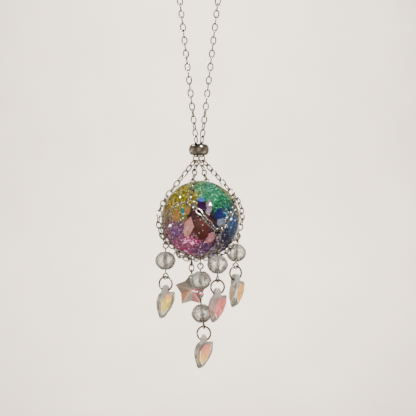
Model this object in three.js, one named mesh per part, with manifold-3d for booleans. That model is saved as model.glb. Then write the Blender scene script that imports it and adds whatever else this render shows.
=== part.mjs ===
// Crystal suncatcher: a clear resin ball in a net of cable chain, hung on a loop of the same chain
// through a slider bead, with five drops of faceted glass below. Millimetres, +Z up, front to -Y.
// The part's origin is the underside of the chain at the top of its loop, where a peg carries it.
// Most of it is laid out around the ball's centre, in a group that hangs below the origin.

import * as THREE from "three";
import { ConvexGeometry } from "three/addons/geometries/ConvexGeometry.js";
import { mergeVertices } from "three/addons/utils/BufferGeometryUtils.js";
import Module from "manifold-3d";

const wasm = await Module();
wasm.setup();

// Driving dimensions
const BALL_RADIUS = 15;
const FIT_GAP = 0.15; // between separate pieces that hang in each other

const LINK_PITCH = 2.54;
const LINK_WIDTH = 2.4;
const LINK_END_HALF = 0.5; // half the straight end of a link's centre line
const WIRE_RADIUS = 0.29; // around the three-sided section of the chain's wire
const FUSE = 0.1; // how deep neighbouring links of a length press into each other
const NODE_STEP = FUSE + FIT_GAP; // how much nearer two lengths hang in each other, so that they don't touch
const STANDS_UP = THREE.MathUtils.degToRad(65); // the most that a link of the net is turned up from the ball
const CHAIN_LIE = 16.1; // distance of the net's centre line from the ball's centre

const RING_RADIUS = 1.5; // centre line of the net's small rings
const RING_SIDES = 7;

const SLIDER = { z: 26.6, radius: 3.85, height: 4.2, bore: 2.15 };
const LOOP_X = -0.6; // of the hanging loop from the ball's centre
const STRAND_OFFSET = 0.95; // of each strand from the slider's axis
const STRAND_SPREAD = THREE.MathUtils.degToRad(6.57); // of each strand from the vertical
const LINKS_PER_SIDE = 29; // below the loop's middle link
const TOP_LINKS_PER_SIDE = 6; // of those, the ones in the bend over the peg
const UNTWIST_LINKS = 8; // over which a strand turns to face the front, above the slider
const SLIDER_RING = { x: 1.15, below: 1.3 };

const BEAD = { radius: 4.05, half: 3.35, table: 1.7, shoulder: 3.3, shoulderHeight: 2.1, bore: 0.75 };
const BEAD_FACETS = 7;
const PIN_WIRE = 0.33;
const EYE_RADIUS = 1.08; // centre line
const EYE_SIDES = 6;
const JUMP_RADIUS = 2.65; // centre line
const JUMP_SIDES = 10;
const JUMP_WIRE = 0.36;
const PENDANT_GAP = 0.38; // over the jump ring, which rises on both sides inside the drilled hole

// Outlines are [x, z] below the top of the neck
const PENDANT = {
  outline: [
    [-1.9, -2.7],
    [-3.0, -4.1],
    [-3.7, -6.5],
    [-3.5, -8.9],
    [-2.5, -12.5],
    [-1.5, -12.9],
    [0, -12.0],
    [2.3, -8.8],
    [3.4, -6.0],
    [3.6, -2.5],
  ],
  table: [
    [0.4, -3.5],
    [2.9, -3.5],
    [2.7, -5.9],
    [1.5, -8.7],
    [-0.7, -11.5],
    [-1.5, -9.3],
    [-1.3, -6.2],
  ],
  depth: 4.4,
  neck: [
    [-1.2, -1.0],
    [-0.6, -0.1],
    [0.5, 0],
    [1.1, -0.9],
    [1.2, -3.6],
    [-1.7, -3.6],
  ],
  neckDepth: 2.4,
  hole: 0.8,
  topToHole: 1.5,
};
const STAR = { radius: 6.9, inner: 4.5, peak: 2.5, hole: 0.64, holeAt: 4.85 };

const SILVER = { color: 0xc9c9cd, roughness: 0.22, metalness: 1 };
const RESIN = { color: 0xb9a6b4, roughness: 0.05, metalness: 0, transparent: true, opacity: 0.6 };
const GLASS = { color: 0xdfe6e2, roughness: 0.03, metalness: 0, transparent: true, opacity: 0.5 };
const COATED_GLASS = { color: 0xe9b7a0, roughness: 0.03, metalness: 0, transparent: true, opacity: 0.7 };

// Points around the ball: azimuth from the front towards +X, latitude up, both in degrees. A ring that
// carries a drop hangs more upright and faces the azimuth hangsFacing; the others lie against the ball.
const UPPER_CROSSINGS = [
  { name: "front", azimuth: -14.5, latitude: 23 },
  { name: "right", azimuth: 72.6, latitude: 32.3 },
  { name: "back", azimuth: 164, latitude: 28 },
  { name: "left", azimuth: -106, latitude: 30 },
];
const LOWER_CROSSINGS = [
  { name: "front_right", azimuth: 24.7, latitude: -16.5 },
  { name: "back_right", azimuth: 109, latitude: -17, hangsFacing: 92 },
  { name: "back_left", azimuth: -166, latitude: -19, hangsFacing: -166 },
  { name: "front_left", azimuth: -76, latitude: -30, hangsFacing: -70 },
];
const HUB = { name: "hub", azimuth: 0, latitude: -61 };
const DROP_HOLD = { name: "drop_hold", azimuth: 32, latitude: -39, hangsFacing: 25 };

// Places that a length of chain passes on its way, where it doesn't run straight over the ball
const WAYS = {
  front_to_front_left: [
    [-28, 22],
    [-41, 14.5],
    [-51, 2],
    [-62, -12],
  ],
  front_left_to_hub: [
    [-57, -38],
    [-49, -48],
    [-36, -55],
    [-17, -57],
  ],
  drop_hold_to_hub: [
    [21, -46],
    [13, -54],
  ],
  back_right_to_hub: [
    [90, -30],
    [72, -50],
    [40, -62],
  ],
  back_left_to_hub: [
    [-146, -34],
    [-108, -52],
    [-62, -64],
    [-42, -69],
  ],
};

// ---- solids and meshes ----

function solidOf(geometry) {
  const bare = geometry.clone();
  bare.deleteAttribute("normal");
  bare.deleteAttribute("uv");
  const merged = mergeVertices(bare, 1e-4);
  return new wasm.Manifold(
    new wasm.Mesh({
      numProp: 3,
      vertProperties: new Float32Array(merged.attributes.position.array),
      triVerts: new Uint32Array(merged.index.array),
    }),
  );
}

function geometryOf(solid) {
  const mesh = solid.getMesh();
  const geometry = new THREE.BufferGeometry();
  geometry.setAttribute("position", new THREE.BufferAttribute(mesh.vertProperties, 3));
  geometry.setIndex(new THREE.BufferAttribute(mesh.triVerts, 1));
  geometry.computeVertexNormals();
  return geometry;
}

function joined(geometries) {
  return geometryOf(geometries.map(solidOf).reduce((whole, piece) => whole.add(piece)));
}

function addPiece(group, name, geometry, look) {
  const mesh = new THREE.Mesh(geometry, new THREE.MeshStandardMaterial(look));
  mesh.name = name;
  group.add(mesh);
  return mesh;
}

// ---- wire ----

// Three-sided wire round a closed, convex, counter-clockwise outline in the XY plane. An edge of the
// wire faces the inside, so that two loops that hang in each other touch edge to edge.
function wireLoop(outline, wireRadius) {
  const count = outline.length;
  const positions = [];
  outline.forEach((here, i) => {
    const arriving = here.clone().sub(outline[(i + count - 1) % count]).normalize();
    const leaving = outline[(i + 1) % count].clone().sub(here).normalize();
    const outward = new THREE.Vector2(arriving.y + leaving.y, -arriving.x - leaving.x).normalize();
    const stretch = 1 / (outward.x * leaving.y - outward.y * leaving.x);
    const inner = here.clone().addScaledVector(outward, -wireRadius * stretch);
    const outer = here.clone().addScaledVector(outward, (wireRadius / 2) * stretch);
    const side = wireRadius * Math.sin(Math.PI / 3);
    positions.push(inner.x, inner.y, 0, outer.x, outer.y, side, outer.x, outer.y, -side);
  });
  const index = [];
  for (let i = 0; i < count; i += 1) {
    const next = (i + 1) % count;
    for (let k = 0; k < 3; k += 1) {
      const [a, b] = [3 * i + k, 3 * i + ((k + 1) % 3)];
      const [c, d] = [3 * next + k, 3 * next + ((k + 1) % 3)];
      index.push(a, b, c, b, d, c);
    }
  }
  const geometry = new THREE.BufferGeometry();
  geometry.setAttribute("position", new THREE.Float32BufferAttribute(positions, 3));
  geometry.setIndex(index);
  return geometry;
}

function roundOutline(radius, sides) {
  const corner = radius / Math.sqrt(Math.cos(Math.PI / sides));
  return Array.from({ length: sides }, (_, i) => {
    const angle = ((i + 0.5) / sides) * 2 * Math.PI;
    return new THREE.Vector2(corner * Math.cos(angle), corner * Math.sin(angle));
  });
}

// A ring whose axis is the given direction, around the given centre
function ringGeometry(centre, axis, radius, sides, wireRadius) {
  const geometry = wireLoop(roundOutline(radius, sides), wireRadius);
  const turn = new THREE.Quaternion().setFromUnitVectors(new THREE.Vector3(0, 0, 1), axis.clone().normalize());
  return geometry.applyQuaternion(turn).translate(centre.x, centre.y, centre.z);
}

// How far inside the centre line of a ring a loop's contact point lies when it hangs in that ring
function holdRadius(radius, sides, wireRadius) {
  return radius * Math.sqrt(Math.cos(Math.PI / sides)) - wireRadius - FIT_GAP - FUSE / 2;
}

// ---- chain ----

// One link between two contact points, in the plane square to the given normal
function linkGeometry(from, to, normal, width = LINK_WIDTH) {
  const along = to.clone().sub(from);
  const half = along.length() / 2 + WIRE_RADIUS - FUSE / 2;
  const middle = (width - WIRE_RADIUS) / 2;
  const outline = [
    new THREE.Vector2(half, -LINK_END_HALF),
    new THREE.Vector2(half, LINK_END_HALF),
    new THREE.Vector2(0, middle),
    new THREE.Vector2(-half, LINK_END_HALF),
    new THREE.Vector2(-half, -LINK_END_HALF),
    new THREE.Vector2(0, -middle),
  ];
  along.normalize();
  const across = new THREE.Vector3().crossVectors(normal, along).normalize();
  const square = new THREE.Vector3().crossVectors(along, across);
  const frame = new THREE.Matrix4().makeBasis(along, across, square);
  frame.setPosition(from.clone().lerp(to, 0.5));
  return wireLoop(outline, WIRE_RADIUS).applyMatrix4(frame);
}

// Links between neighbouring contact points, each turned a quarter from the last. outwardAt gives
// the direction that a link turned by 0 faces, and turnOf its turn about the chain.
function chainGeometry(contacts, outwardAt, turnOf) {
  const links = contacts.slice(1).map((to, i) => {
    const from = contacts[i];
    const along = to.clone().sub(from).normalize();
    const outward = outwardAt(from.clone().lerp(to, 0.5));
    const normal = outward.addScaledVector(along, -outward.dot(along)).normalize();
    return linkGeometry(from, to, normal.applyAxisAngle(along, turnOf(i)));
  });
  return joined(links);
}

function halfTurn(angle) {
  return angle - Math.PI * Math.round(angle / Math.PI);
}

// The turns at which the link from one contact point to the next is square to the wire of a ring at
// its end, as far as the ball leaves room
function turnsAt(ringAxis, from, to) {
  const along = to.clone().sub(from).normalize();
  const outward = fromBall(from.clone().lerp(to, 0.5));
  outward.addScaledVector(along, -outward.dot(along)).normalize();
  const wire = new THREE.Vector3().crossVectors(ringAxis, along);
  const turn = halfTurn(Math.atan2(wire.dot(new THREE.Vector3().crossVectors(along, outward)), wire.dot(outward)));
  return Math.abs(turn) > STANDS_UP ? [STANDS_UP, -STANDS_UP] : [turn];
}

// Quarter turns from link to link, and an even twist that brings both end links square to their rings
function twistedTurns(contacts, firstAxis, lastAxis) {
  const steps = Math.max(1, contacts.length - 2);
  let best;
  for (const first of turnsAt(firstAxis, contacts[0], contacts[1])) {
    for (const last of turnsAt(lastAxis, contacts.at(-2), contacts.at(-1))) {
      const twist = halfTurn(last - first - (steps * Math.PI) / 2);
      if (!best || Math.abs(twist) < Math.abs(best.twist)) best = { first, twist };
    }
  }
  return (i) => best.first + (i * Math.PI) / 2 + (i * best.twist) / steps;
}

// ---- the ball's surroundings ----

function direction(azimuth, latitude) {
  const [a, l] = [THREE.MathUtils.degToRad(azimuth), THREE.MathUtils.degToRad(latitude)];
  return new THREE.Vector3(Math.cos(l) * Math.sin(a), -Math.cos(l) * Math.cos(a), Math.sin(l));
}

function onNet(place) {
  return direction(place.azimuth, place.latitude).multiplyScalar(CHAIN_LIE);
}

// A line over the ball at the net's height, through the given points
class OverBall extends THREE.Curve {
  constructor(points) {
    super();
    this.guide = new THREE.CatmullRomCurve3(points);
  }
  getPoint(t) {
    return this.guide.getPoint(t).setLength(CHAIN_LIE);
  }
}

// A taut line from a point above the ball, down to where it touches the net's height, then over it
class TautOverBall extends THREE.Curve {
  constructor(above, end) {
    super();
    this.above = above;
    this.axis = new THREE.Vector3().crossVectors(above, end).normalize();
    this.toTouch = Math.acos(CHAIN_LIE / above.length());
    this.overArc = above.angleTo(end) - this.toTouch;
    this.touch = above.clone().setLength(CHAIN_LIE).applyAxisAngle(this.axis, this.toTouch);
    this.freeLength = above.distanceTo(this.touch);
  }
  getPoint(t) {
    const run = t * (this.freeLength + this.overArc * CHAIN_LIE);
    if (run < this.freeLength) return this.above.clone().lerp(this.touch, run / this.freeLength);
    return this.touch.clone().applyAxisAngle(this.axis, (run - this.freeLength) / CHAIN_LIE);
  }
}

// Contact points at even steps along a curve, as near to the chain's pitch as a whole number allows
function contactsAlong(curve) {
  return curve.getSpacedPoints(Math.max(1, Math.round(curve.getLength() / LINK_PITCH)));
}

function fromBall(point) {
  return point.clone().normalize();
}

// A small ring, and the contact point in it of a length of chain that leaves towards a place
function netRing(centre, axis) {
  const hold = holdRadius(RING_RADIUS, RING_SIDES, WIRE_RADIUS);
  const down = new THREE.Vector3(0, 0, -1).addScaledVector(axis, axis.z / axis.lengthSq());
  return {
    centre,
    axis,
    eyeTurn: Math.atan2(axis.x, -axis.y) + Math.PI / 2,
    lowest: centre.clone().addScaledVector(down.normalize(), RING_RADIUS).add(new THREE.Vector3(0, 0, WIRE_RADIUS)),
    geometry: ringGeometry(centre, axis, RING_RADIUS, RING_SIDES, WIRE_RADIUS),
    towards(place) {
      const way = place.clone().sub(centre);
      way.addScaledVector(axis, -way.dot(axis) / axis.lengthSq());
      return way.setLength(hold).add(centre);
    },
  };
}

function wayOverBall(fromRing, toRing, via = []) {
  const between = via.map(([azimuth, latitude]) => onNet({ azimuth, latitude }));
  const first = between[0] ?? toRing.centre;
  const last = between.at(-1) ?? fromRing.centre;
  const ends = [fromRing.towards(first), toRing.towards(last)];
  if (!between.length) between.push(ends[0].clone().lerp(ends[1], 0.5).setLength(CHAIN_LIE));
  return new OverBall([ends[0], ...between, ends[1]]);
}

// ---- hanging loop ----

// The bend over the peg, its radius and height worked out from the number of links
function hangingLoop() {
  const sliderTop = SLIDER.z + SLIDER.height / 2;
  const ringZ = SLIDER.z - SLIDER.height / 2 - SLIDER_RING.below;
  const end = ringZ + holdRadius(RING_RADIUS, RING_SIDES, WIRE_RADIUS);
  const whole = (LINKS_PER_SIDE + 0.5) * LINK_PITCH - NODE_STEP - (sliderTop - end);
  const bend = (Math.PI / 2 + STRAND_SPREAD) / Math.cos(STRAND_SPREAD);
  const straight = (whole - STRAND_OFFSET * bend) / (1 + Math.sin(STRAND_SPREAD) * bend);
  const radius = (STRAND_OFFSET + straight * Math.sin(STRAND_SPREAD)) / Math.cos(STRAND_SPREAD);
  const centreZ = sliderTop + straight * Math.cos(STRAND_SPREAD) + radius * Math.sin(STRAND_SPREAD);
  return { sliderTop, ringZ, straight, radius, centreZ };
}

// A point on the loop's right side, at a distance along it from the top, from the slider's axis
function pointOnLoop(loop, run) {
  const bendLength = loop.radius * (Math.PI / 2 + STRAND_SPREAD);
  if (run < bendLength) {
    const angle = run / loop.radius;
    const height = loop.centreZ + loop.radius * Math.cos(angle);
    return new THREE.Vector3(loop.radius * Math.sin(angle), 0, height);
  }
  const up = Math.max(0, loop.straight - (run - bendLength));
  const below = Math.max(0, run - bendLength - loop.straight);
  const x = STRAND_OFFSET + up * Math.sin(STRAND_SPREAD);
  return new THREE.Vector3(x, 0, loop.sliderTop + up * Math.cos(STRAND_SPREAD) - below);
}

// Points of the loop's left (-1) or right (1) side, in their place over the ball
function onSide(points, sign) {
  return points.map((p) => new THREE.Vector3(LOOP_X + sign * p.x, p.y, p.z));
}

function facingFront() {
  return new THREE.Vector3(0, -1, 0);
}

// The turn of the link that is the given number of links below the loop's middle link
function loopTurn(number) {
  const near = Math.max(0, number - (LINKS_PER_SIDE - UNTWIST_LINKS)) / UNTWIST_LINKS;
  return (number * Math.PI) / 2 + (near * Math.PI) / 4;
}

function addHangingChain(group, loop, rings) {
  const top = [];
  for (let i = 0; i <= TOP_LINKS_PER_SIDE; i += 1) top.push(pointOnLoop(loop, (i + 0.5) * LINK_PITCH));
  const bend = [...onSide(top, -1).reverse(), ...onSide(top, 1)];
  const bendTurn = (i) => loopTurn(Math.abs(i - TOP_LINKS_PER_SIDE));
  addPiece(group, "hanging_chain_top", chainGeometry(bend, facingFront, bendTurn), SILVER);

  const strand = [];
  for (let i = TOP_LINKS_PER_SIDE; i < LINKS_PER_SIDE; i += 1) {
    strand.push(pointOnLoop(loop, (i + 0.5) * LINK_PITCH - NODE_STEP));
  }
  const strandTurn = (i) => loopTurn(i + TOP_LINKS_PER_SIDE + 1);
  for (const [side, sign] of [["left", -1], ["right", 1]]) {
    const points = onSide(strand, sign);
    const contacts = [...points, rings[side].towards(points.at(-1))];
    addPiece(group, `hanging_chain_${side}`, chainGeometry(contacts, facingFront, strandTurn), SILVER);
  }
}

// ---- net ----

function addSliderRings(group, loop) {
  const rings = {};
  for (const [side, sign] of [["left", -1], ["right", 1]]) {
    const centre = new THREE.Vector3(LOOP_X + sign * SLIDER_RING.x, 0, loop.ringZ);
    rings[side] = netRing(centre, new THREE.Vector3(1, 1, 0));
    addPiece(group, `slider_ring_${side}`, rings[side].geometry, SILVER);
  }
  return rings;
}

function addNetRing(group, place) {
  const { azimuth, latitude, hangsFacing } = place;
  const axis = hangsFacing === undefined ? direction(azimuth, latitude) : direction(hangsFacing, latitude / 2);
  const ring = netRing(onNet(place), axis);
  addPiece(group, `net_ring_${place.name}`, ring.geometry, SILVER);
  return ring;
}

function addNetChain(group, name, curve, fromRing, toRing) {
  const contacts = contactsAlong(curve);
  const turnOf = twistedTurns(contacts, fromRing.axis, toRing.axis);
  addPiece(group, `net_chain_${name}`, chainGeometry(contacts, fromBall, turnOf), SILVER);
}

function addNet(group, sliderRings) {
  const upper = UPPER_CROSSINGS.map((place) => addNetRing(group, place));
  const lower = LOWER_CROSSINGS.map((place) => addNetRing(group, place));
  const hub = addNetRing(group, HUB);
  const dropHold = addNetRing(group, DROP_HOLD);

  UPPER_CROSSINGS.forEach((place, i) => {
    const side = ["left", "right", "right", "left"][i];
    const start = sliderRings[side].towards(upper[i].centre);
    const line = new TautOverBall(start, upper[i].towards(start));
    addNetChain(group, `${side}_to_${place.name}`, line, sliderRings[side], upper[i]);
  });
  UPPER_CROSSINGS.forEach((place, i) => {
    for (const k of [i, (i + 3) % 4]) {
      const name = `${place.name}_to_${LOWER_CROSSINGS[k].name}`;
      addNetChain(group, name, wayOverBall(upper[i], lower[k], WAYS[name]), upper[i], lower[k]);
    }
  });
  const lowerLengths = [
    ["front_right_to_drop_hold", lower[0], dropHold],
    ["drop_hold_to_hub", dropHold, hub],
    ["back_right_to_hub", lower[1], hub],
    ["back_left_to_hub", lower[2], hub],
    ["front_left_to_hub", lower[3], hub],
  ];
  for (const [name, from, to] of lowerLengths) {
    addNetChain(group, name, wayOverBall(from, to, WAYS[name]), from, to);
  }
  return { lower, hub, dropHold };
}

// ---- ball, slider and glass ----

function ballGeometry() {
  return new THREE.IcosahedronGeometry(BALL_RADIUS, 3);
}

function sliderGeometry() {
  const [rim, half] = [SLIDER.bore + 0.45, SLIDER.height / 2];
  const profile = [new THREE.Vector2(SLIDER.bore, 0.7 * half), new THREE.Vector2(SLIDER.bore, -0.7 * half)];
  for (let i = 0; i <= 4; i += 1) {
    const angle = ((i - 2) * Math.PI) / 4;
    const radius = rim + (SLIDER.radius - rim) * Math.cos(angle);
    profile.push(new THREE.Vector2(radius, half * Math.sin(angle)));
  }
  profile.push(profile[0].clone());
  return new THREE.LatheGeometry(profile, 12).rotateX(Math.PI / 2).translate(LOOP_X, 0, SLIDER.z);
}

function facetRing(radius, height, offset) {
  return Array.from({ length: BEAD_FACETS }, (_, i) => {
    const angle = ((i + offset) / BEAD_FACETS) * 2 * Math.PI;
    return new THREE.Vector3(radius * Math.cos(angle), radius * Math.sin(angle), height);
  });
}

// A faceted round bead with its hole along Z
function beadGeometry() {
  const hull = new ConvexGeometry([
    ...facetRing(BEAD.table, BEAD.half, 0),
    ...facetRing(BEAD.shoulder, BEAD.shoulderHeight, 0.5),
    ...facetRing(BEAD.radius, 0, 0),
    ...facetRing(BEAD.shoulder, -BEAD.shoulderHeight, 0.5),
    ...facetRing(BEAD.table, -BEAD.half, 0),
  ]);
  const bore = new THREE.CylinderGeometry(BEAD.bore, BEAD.bore, 3 * BEAD.half, 4).rotateX(Math.PI / 2);
  return geometryOf(solidOf(hull).subtract(solidOf(bore)));
}

// A wire pin between two eyes, from the lower eye's centre at 0 up to the upper eye's
function eyePinGeometry(length) {
  const axis = new THREE.Vector3(0, 1, 0);
  const shankLength = length - 2 * EYE_RADIUS;
  const shank = new THREE.CylinderGeometry(PIN_WIRE, PIN_WIRE, shankLength, 3).rotateX(Math.PI / 2);
  return joined([
    ringGeometry(new THREE.Vector3(0, 0, 0), axis, EYE_RADIUS, EYE_SIDES, PIN_WIRE),
    ringGeometry(new THREE.Vector3(0, 0, length), axis, EYE_RADIUS, EYE_SIDES, PIN_WIRE),
    shank.translate(0, 0, length / 2),
  ]);
}

// A drill along Y
function drill(radius, depth) {
  return new THREE.CylinderGeometry(radius, radius, depth, 5);
}

function at(points, depth) {
  return points.map(([x, z]) => new THREE.Vector3(x, depth, z));
}

// An irregular cut crystal: a sharp-edged body with a large flat facet on each side, its neck drilled
// from side to side. The top of the hole is at the origin.
function pendantGeometry() {
  const body = new ConvexGeometry([
    ...at(PENDANT.outline, 0),
    ...at(PENDANT.table, -PENDANT.depth / 2),
    ...at(PENDANT.table, PENDANT.depth / 2),
  ]);
  const neckHalf = PENDANT.neckDepth / 2;
  const neck = new ConvexGeometry([...at(PENDANT.neck, -neckHalf), ...at(PENDANT.neck, neckHalf)]);
  const hole = drill(PENDANT.hole, 2 * PENDANT.depth).rotateZ(Math.PI / 2);
  hole.translate(0, 0, -PENDANT.topToHole - PENDANT.hole);
  const solid = solidOf(body).add(solidOf(neck)).subtract(solidOf(hole));
  return geometryOf(solid).translate(0, 0, PENDANT.topToHole);
}

// A five-pointed star, raised to a peak on both sides, drilled near one tip. The top of the hole is
// at the origin.
function starGeometry() {
  const rim = Array.from({ length: 10 }, (_, i) => {
    const radius = i % 2 ? STAR.inner : STAR.radius;
    const angle = (i * Math.PI) / 5;
    return [radius * Math.sin(angle), 0, radius * Math.cos(angle)];
  });
  const positions = [...rim.flat(), 0, -STAR.peak, 0, 0, STAR.peak, 0];
  const index = rim.flatMap((_, i) => {
    const next = (i + 1) % 10;
    return [next, i, 10, i, next, 11];
  });
  const star = new THREE.BufferGeometry();
  star.setAttribute("position", new THREE.Float32BufferAttribute(positions, 3));
  star.setIndex(index);
  const hole = drill(STAR.hole, 3 * STAR.peak).translate(0, 0, STAR.holeAt);
  const drilled = geometryOf(solidOf(star).subtract(solidOf(hole)));
  return drilled.translate(0, 0, -STAR.holeAt - STAR.hole);
}

// ---- drops ----

// Hangs pieces under each other. rest is the height that the next piece's top wire rests at.
class Drop {
  constructor(group, name, x, y, rest, turn) {
    Object.assign(this, { group, name, x, y, rest, turn });
  }

  place(piece, geometry, z, turn, look, lean = 0) {
    const mesh = addPiece(this.group, `${this.name}_${piece}`, geometry, look);
    mesh.position.set(this.x, this.y, z);
    mesh.rotation.set(0, lean, turn);
    return this;
  }

  // A loop whose top wire rests on what carries it; returns the height of its centre
  hangLoop(radius, sides, wireRadius) {
    const reach = radius * Math.sqrt(Math.cos(Math.PI / sides)) - wireRadius;
    const centre = this.rest + FIT_GAP - reach;
    this.rest = centre - reach;
    return centre;
  }

  ring(piece, radius, sides, wireRadius, turn) {
    const z = this.hangLoop(radius, sides, wireRadius);
    const geometry = ringGeometry(new THREE.Vector3(), new THREE.Vector3(0, 1, 0), radius, sides, wireRadius);
    return this.place(piece, geometry, z, turn, SILVER);
  }

  link(piece, turn) {
    const reach = (LINK_PITCH - FUSE) / 2;
    const centre = this.rest + FIT_GAP - reach;
    this.rest = centre - reach;
    const ends = [new THREE.Vector3(0, 0, LINK_PITCH / 2), new THREE.Vector3(0, 0, -LINK_PITCH / 2)];
    return this.place(piece, linkGeometry(...ends, new THREE.Vector3(0, 1, 0)), centre, turn, SILVER);
  }

  // A bead on a pin that leans from its upper eye by an angle about Y
  beadOnPin(number, turn, upperNeck, lowerNeck, lean = 0) {
    const upperEye = this.hangLoop(EYE_RADIUS, EYE_SIDES, PIN_WIRE);
    const toEye = BEAD.half + EYE_RADIUS + PIN_WIRE / 2;
    const length = upperNeck + 2 * toEye + lowerNeck;
    const pin = eyePinGeometry(length).translate(0, 0, -length);
    this.place(`eye_pin${number}`, pin, upperEye, turn, SILVER, lean);
    const bead = beadGeometry().translate(0, 0, -upperNeck - toEye);
    this.place(`bead${number}`, bead, upperEye, turn, GLASS, lean);
    this.x -= length * Math.sin(lean);
    this.rest -= length * Math.cos(lean);
    return this;
  }

  pendant(piece, geometry, turn, gap) {
    return this.place(piece, geometry, this.rest + gap, turn, COATED_GLASS);
  }
}

// A drop that starts on the lowest wire of a ring of the net
function dropUnder(group, name, ring) {
  const { x, y, z } = ring.lowest;
  return new Drop(group, name, x, y, z);
}

function addDrops(group, net) {
  const [, backRight, backLeft, frontLeft] = net.lower;
  const facing = (degrees) => THREE.MathUtils.degToRad(degrees);

  dropUnder(group, "left_drop", frontLeft)
    .beadOnPin("", frontLeft.eyeTurn, 1.2, 1.4)
    .ring("jump_ring", JUMP_RADIUS, JUMP_SIDES, JUMP_WIRE, facing(-20))
    .pendant("pendant", pendantGeometry(), facing(-8), PENDANT_GAP);

  dropUnder(group, "star_drop", backLeft)
    .beadOnPin("", backLeft.eyeTurn, 0.9, 0.5)
    .link("upper_link", facing(14))
    .link("lower_link", facing(100))
    .pendant("star", starGeometry(), facing(5), 2 * FIT_GAP);

  dropUnder(group, "middle_drop", net.hub)
    .link("link", net.hub.eyeTurn)
    .beadOnPin("_1", facing(0), 0.8, 0.9)
    .beadOnPin("_2", facing(80), 1.2, 0.2, facing(-7))
    .ring("jump_ring", JUMP_RADIUS, JUMP_SIDES, JUMP_WIRE, facing(-15))
    .pendant("pendant", pendantGeometry(), facing(0), PENDANT_GAP);

  dropUnder(group, "front_right_drop", net.dropHold)
    .beadOnPin("", net.dropHold.eyeTurn, 0.2, 1.1)
    .ring("jump_ring", JUMP_RADIUS, JUMP_SIDES, JUMP_WIRE, facing(15))
    .pendant("pendant", pendantGeometry(), facing(14), PENDANT_GAP);

  dropUnder(group, "right_drop", backRight)
    .beadOnPin("", backRight.eyeTurn, 1.9, 0.5, facing(4))
    .ring("jump_ring", JUMP_RADIUS, JUMP_SIDES, JUMP_WIRE, facing(30))
    .pendant("pendant", pendantGeometry(), facing(45), PENDANT_GAP);
}

// ---- the whole ----

function suncatcher() {
  const whole = new THREE.Group();
  const hung = new THREE.Group();
  whole.add(hung);
  const loop = hangingLoop();
  hung.position.set(-LOOP_X, 0, LINK_WIDTH / 2 - loop.centreZ - loop.radius);

  const sliderRings = addSliderRings(hung, loop);
  addHangingChain(hung, loop, sliderRings);
  addPiece(hung, "slider_bead", sliderGeometry(), SILVER);
  addPiece(hung, "resin_ball", ballGeometry(), RESIN);
  const net = addNet(hung, sliderRings);
  addDrops(hung, net);
  return whole;
}

export default suncatcher();
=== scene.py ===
import math
import random

import bmesh
import bpy
import numpy as np
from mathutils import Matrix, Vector, noise


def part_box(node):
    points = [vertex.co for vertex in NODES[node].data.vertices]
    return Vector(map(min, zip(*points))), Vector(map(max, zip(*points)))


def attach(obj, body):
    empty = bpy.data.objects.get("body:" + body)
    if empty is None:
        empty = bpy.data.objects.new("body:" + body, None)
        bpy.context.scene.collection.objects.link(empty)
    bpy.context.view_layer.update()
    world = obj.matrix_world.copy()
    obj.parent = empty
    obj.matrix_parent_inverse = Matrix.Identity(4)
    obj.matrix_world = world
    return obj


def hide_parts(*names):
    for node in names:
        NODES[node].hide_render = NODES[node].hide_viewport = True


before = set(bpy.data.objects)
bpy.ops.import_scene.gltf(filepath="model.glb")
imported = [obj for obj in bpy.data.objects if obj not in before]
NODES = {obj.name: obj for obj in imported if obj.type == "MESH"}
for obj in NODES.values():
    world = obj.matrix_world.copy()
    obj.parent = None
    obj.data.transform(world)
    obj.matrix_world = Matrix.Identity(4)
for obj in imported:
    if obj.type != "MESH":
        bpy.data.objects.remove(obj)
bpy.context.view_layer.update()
LOW, HIGH = (np.array(corner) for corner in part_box("resin_ball"))
BALL = (LOW + HIGH) / 2 * 1000  # the ball's centre in mm; lengths here are in mm until a mesh is made

# The same sizes and places as the solids have
BALL_RADIUS = 15
FIT_GAP = 0.15
LINK_PITCH = 2.54
WIRE_RADIUS = 0.29
FUSE = 0.1
NODE_STEP = FUSE + FIT_GAP
STANDS_UP = math.radians(65)
CHAIN_LIE = 16.1
RING_RADIUS = 1.5
RING_SIDES = 7
LOOP_X = -0.6
STRAND_OFFSET = 0.95
STRAND_SPREAD = math.radians(6.57)
LINKS_PER_SIDE = 29
TOP_LINKS_PER_SIDE = 6
UNTWIST_LINKS = 8
SLIDER = {"z": 26.6, "radius": 3.85, "height": 4.2, "bore": 2.15}
SLIDER_RING = {"x": 1.15, "below": 1.3}
RING_Z = SLIDER["z"] - SLIDER["height"] / 2 - SLIDER_RING["below"]
# Each crossing's name, azimuth and latitude, and the azimuth that its ring faces if that isn't its own
UPPER_CROSSINGS = [
    ("front", -14.5, 23, None),
    ("right", 72.6, 32.3, None),
    ("back", 164, 28, None),
    ("left", -106, 30, None),
]
LOWER_CROSSINGS = [
    ("front_right", 24.7, -16.5, None),
    ("back_right", 109, -17, 92),
    ("back_left", -166, -19, -166),
    ("front_left", -76, -30, -70),
]
HUB = ("hub", 0, -61, None)
DROP_HOLD = ("drop_hold", 32, -39, 25)
# The places that a length of the net passes between its two ends, where it doesn't run straight
WAYS = {
    "front_to_front_left": [(-28, 22), (-41, 14.5), (-51, 2), (-62, -12)],
    "front_left_to_hub": [(-57, -38), (-49, -48), (-36, -55), (-17, -57)],
    "drop_hold_to_hub": [(21, -46), (13, -54)],
    "back_right_to_hub": [(90, -30), (72, -50), (40, -62)],
    "back_left_to_hub": [(-146, -34), (-108, -52), (-62, -64), (-42, -69)],
}


# ---- meshes ----


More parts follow.
